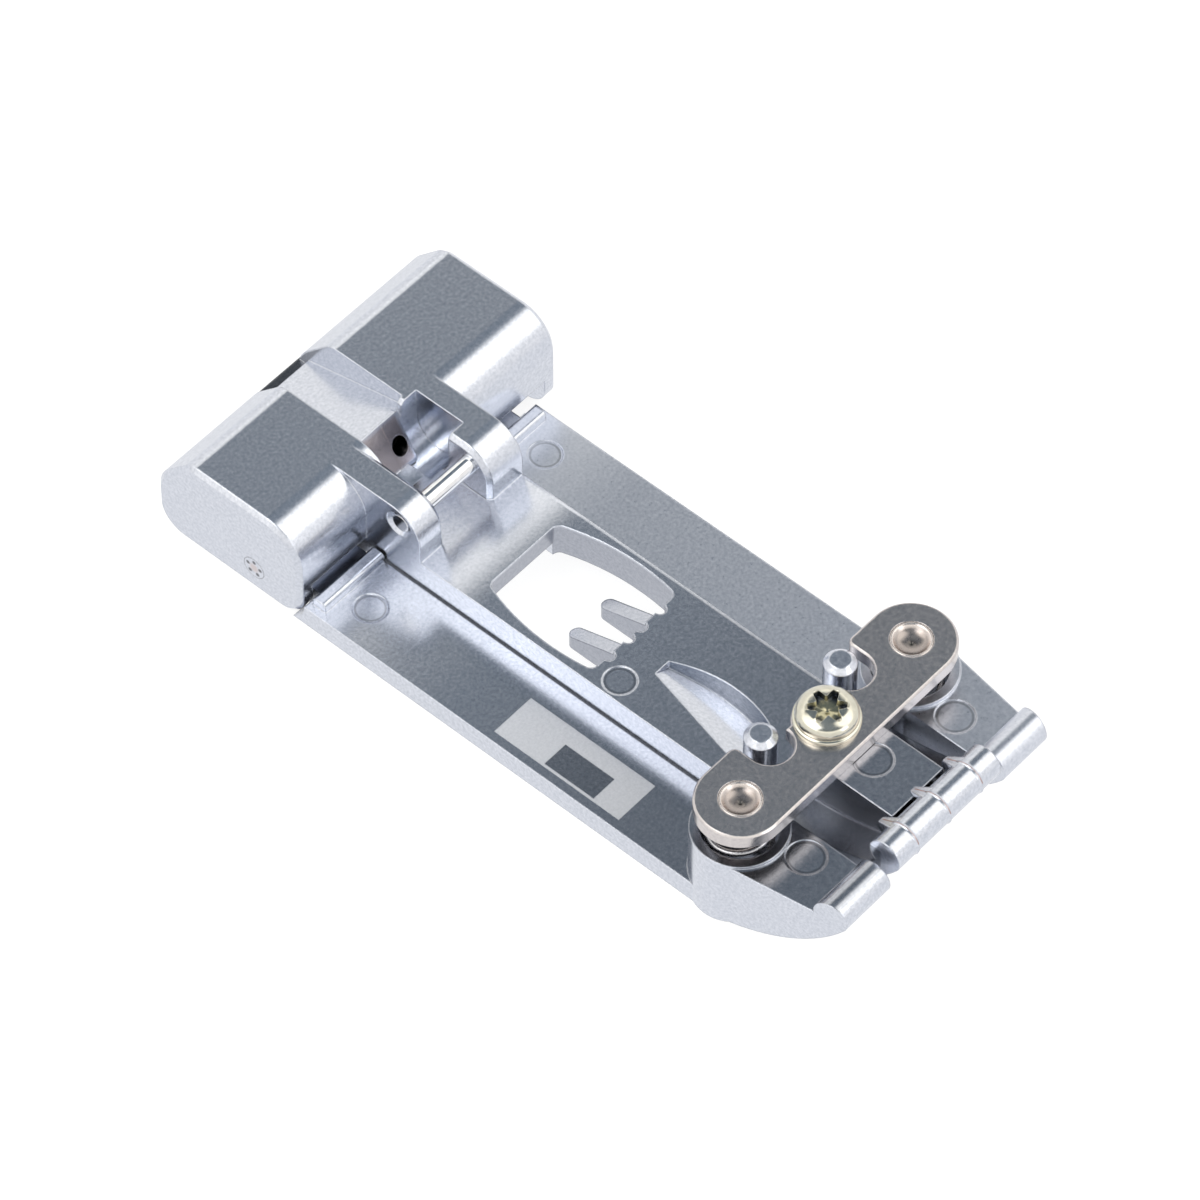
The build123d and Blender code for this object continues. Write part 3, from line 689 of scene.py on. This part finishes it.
def punchEnd(parts):
    tree, axes = parts["tree"], parts["axes"]
    away = distanceTo(tree, axes, ("Y", "Z"), stakedEnd["middle"])
    paint(parts, span(tree, away, *stakedEnd["warm"], stakedEnd["warmTint"], 0.0), stakedEnd["warmColour"])
    for dot in range(stakedEnd["dots"]):
        angle = (dot + stakedEnd["firstDot"]) * 2 * math.pi / stakedEnd["dots"]
        y = stakedEnd["middle"][0] + stakedEnd["ring"] * math.cos(angle)
        z = stakedEnd["middle"][1] + stakedEnd["ring"] * math.sin(angle)
        offDot = distanceTo(tree, axes, ("Y", "Z"), (y, z))
        # painted shade in each punch mark
        punched = span(tree, offDot, *stakedEnd["dot"], stakedEnd["dotShade"], 0.0)
        paint(parts, punched, stakedEnd["dotShadeColour"])
    paint(parts, span(tree, away, *stakedEnd["rim"], 0.0, stakedEnd["rimTint"]), stakedEnd["rimColour"])


stakedPin = newMetal("stakedPin", castLook(finish=punchEnd))
for nodeName in ("left_hinge_pin", "right_hinge_pin"):
    dress(nodeName, stakedPin)
print("pins dressed")

# The bar's outer holes, where the studs and springs stand, and its screw between them
barHoles = {"x": 7.47 * mm, "y": -19.63 * mm}


def spinProfile(profile, middle, steps):
    # a closed round piece from its half profile, in millimetres of radius and height
    bm = bmesh.new()
    verts = [bm.verts.new((middle[0] + radius * mm, middle[1], height * mm)) for radius, height in profile]
    edges = [bm.edges.new(pair) for pair in zip(verts, verts[1:])]
    bmesh.ops.spin(
        bm,
        geom=verts + edges,
        cent=(middle[0], middle[1], 0),
        axis=(0, 0, 1),
        angle=2 * math.pi,
        steps=steps,
        use_merge=True,
    )
    bmesh.ops.remove_doubles(bm, verts=bm.verts, dist=0.0005 * mm)
    bmesh.ops.recalc_face_normals(bm, faces=bm.faces)
    return bm


def placeTurned(bm, name, nodeName, material, crispFrom=0.7):
    # smooth faces, crisp at sharper corners, in place of the node of the solid model
    for face in bm.faces:
        face.smooth = True
    for edge in bm.edges:
        edge.smooth = edge.calc_face_angle(0.0) < crispFrom
    piece = makeObject(bm, name)
    piece.data.materials.append(material)
    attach(piece, "foot")
    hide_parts(nodeName)


# Studs: riveted ends with a thin bright rim round a dished middle
studShape = {
    "profile": (
        (0, 4.9), (1.1, 4.9), (1.1, 7.07), (1.275, 7.07), (1.275, 8.0), (1.24, 8.05),
        (1.18, 8.07), (1.12, 8.05), (1.05, 7.97), (0.95, 7.86), (0.8, 7.76), (0.6, 7.69),
        (0.35, 7.65), (0.15, 7.64), (0.08, 7.6), (0, 7.55),
    ),
    "steps": 64,
    "dish": (0.9 * mm, 1.08 * mm),
    "dishShade": 0.6,
    "dishShadeColour": (0.16, 0.13, 0.12, 1),
    "punch": (0.08 * mm, 0.4 * mm),
    "punchShade": 0.85,
    "punchShadeColour": (0.03, 0.035, 0.035, 1),
}


def shadeStudDish(parts):
    # painted shade: the dish is darkened to a warm dark, darkest at the punch mark in its middle
    tree, axes = parts["tree"], parts["axes"]
    mirrored = {"X": combine(tree, "ABSOLUTE", axes["X"]), "Y": axes["Y"]}
    away = distanceTo(tree, mirrored, ("X", "Y"), (barHoles["x"], barHoles["y"]))
    paint(parts, span(tree, away, *studShape["dish"], studShape["dishShade"], 0.0), studShape["dishShadeColour"])
    paint(parts, span(tree, away, *studShape["punch"], studShape["punchShade"], 0.0), studShape["punchShadeColour"])


studLook = castLook(
    dark=(0.66, 0.6, 0.57),
    light=(0.76, 0.7, 0.67),
    roughLow=0.22,
    roughHigh=0.34,
    mottleSize=0.3 * mm,
    edge=0.03 * mm,
    finish=shadeStudDish,
)
studSteel = newMetal("studSteel", studLook)
for side, nodeName in ((-1, "left_stud"), (1, "right_stud")):
    bm = spinProfile(studShape["profile"], (side * barHoles["x"], barHoles["y"]), studShape["steps"])
    placeTurned(bm, nodeName + "_end", nodeName, studSteel)
print("studs riveted")

# Cross bar: dark nickel plate
barLook = castLook(
    dark=(0.6, 0.565, 0.56),
    light=(0.67, 0.63, 0.62),
    roughLow=0.19,
    roughHigh=0.25,
    edge=0.1 * mm,
)
dress("bridge_bar", newMetal("barNickel", barLook))

# Screw: domed head on a low collar, with a six-lobed recess
screwShape = {
    "profile": (
        (0, 3.2), (1.25, 3.2), (1.25, 8.07), (2.0, 8.07), (2.0, 8.24), (1.95, 8.3), (1.86, 8.34),
        (1.86, 8.58), (1.84, 8.72), (1.76, 8.88), (1.62, 9.02), (1.44, 9.13), (1.26, 9.21), (1.12, 9.25),
        (1.0, 9.255), (0.93, 8.78), (0.5, 8.74), (0.12, 8.7), (0, 8.62),
    ),
    "steps": 96,
    "recess": (0.9 * mm, 1.02 * mm),
    "recessAbove": 8.6 * mm,
    "valley": 0.7,
    "tip": 1.27,
    "lobes": 6,
    "turn": 0.26,
    "deep": (8.85 * mm, 9.2 * mm),
    "mouth": (1.2 * mm, 1.3 * mm),
    "recessFloorShade": 0.8,
    "floorColour": (0.4, 0.37, 0.22, 1),
    "lobe": (0.55 * mm, 0.85 * mm),
    "lobeShade": 0.92,
    "lobeShadeColour": (0.03, 0.045, 0.075, 1),
}


def shadeRecess(parts):
    # painted shade on the olive floor and painted reflection in the dark blue lobes, as the recess holds the
    # dark of the room
    tree, axes, shape = parts["tree"], parts["axes"], screwShape
    away = distanceTo(tree, axes, ("X", "Y"), (0.0, barHoles["y"]))
    deep = span(tree, axes["Z"], *shape["deep"], 1.0, 0.0)
    inRecess = product(tree, deep, span(tree, away, *shape["mouth"], 1.0, 0.0))
    lobe = product(tree, inRecess, span(tree, away, *shape["lobe"]))
    # painted shade on the recess floor, then painted reflection of the dark room in its lobes
    paint(parts, product(tree, inRecess, shape["recessFloorShade"]), shape["floorColour"])
    paint(parts, product(tree, lobe, shape["lobeShade"]), shape["lobeShadeColour"])


def pushLobes(bm):
    # the recess's round wall goes in and out between valleys and tips
    nearest, farthest = screwShape["recess"]
    for vert in bm.verts:
        away = Vector((vert.co.x, vert.co.y - barHoles["y"]))
        if nearest < away.length < farthest and vert.co.z > screwShape["recessAbove"]:
            angle = math.atan2(away.y, away.x) - screwShape["turn"]
            wave = 0.5 + 0.5 * math.cos(screwShape["lobes"] * angle)
            away *= screwShape["valley"] + (screwShape["tip"] - screwShape["valley"]) * wave
            vert.co.x = away.x
            vert.co.y = barHoles["y"] + away.y


screwLook = castLook(
    dark=(0.6, 0.58, 0.49),
    light=(0.72, 0.7, 0.6),
    roughLow=0.12,
    roughHigh=0.22,
    mottleSize=0.6 * mm,
    edge=0.04 * mm,
    finish=shadeRecess,
)
bm = spinProfile(screwShape["profile"], (0.0, barHoles["y"]), screwShape["steps"])
pushLobes(bm)
placeTurned(bm, "bar_screw_head", "bar_screw", newMetal("screwZinc", screwLook))
print("bar and screw dressed")

# Springs: a coil of round wire whose top stays under the bar
springWire = {
    "wire": 0.2 * mm,
    "wireSides": 12,
    "mean": 1.84 * mm,
    "turns": 2.5,
    "bottom": 2.76 * mm,
    "top": 6.85 * mm,
    "stepsPerTurn": 40,
}


def windSpring(middle):
    bm = bmesh.new()
    bmesh.ops.create_circle(bm, segments=springWire["wireSides"], radius=springWire["wire"])
    bmesh.ops.rotate(bm, verts=bm.verts, matrix=Matrix.Rotation(math.radians(90), 3, "X"))
    start = middle + Vector((springWire["mean"], 0, springWire["bottom"]))
    bmesh.ops.translate(bm, verts=bm.verts, vec=start)
    steps = round(springWire["turns"] * springWire["stepsPerTurn"])
    bmesh.ops.spin(
        bm,
        geom=bm.edges[:],
        cent=middle,
        axis=(0, 0, 1),
        dvec=(0, 0, (springWire["top"] - springWire["bottom"]) / steps),
        angle=springWire["turns"] * 2 * math.pi,
        steps=steps,
    )
    bmesh.ops.holes_fill(bm, edges=[e for e in bm.edges if e.is_boundary])
    bmesh.ops.recalc_face_normals(bm, faces=bm.faces)
    for face in bm.faces:
        face.smooth = True
    return bm


wireLook = castLook(
    dark=(0.42, 0.42, 0.44),
    light=(0.58, 0.58, 0.6),
    roughLow=0.2,
    roughHigh=0.35,
    peelStrength=0.05,
    edge=0.03 * mm,
)
wireSteel = newMetal("wireSteel", wireLook)
for side, nodeName, soleBody in ((-1, "left_spring", "left_side"), (1, "right_spring", "right_side")):
    middle = Vector((side * barHoles["x"], barHoles["y"], 0))
    coil = makeObject(windSpring(middle), nodeName + "_coil")
    coil.data.materials.append(wireSteel)
    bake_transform(coil)
    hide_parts(nodeName)
print("springs wound")
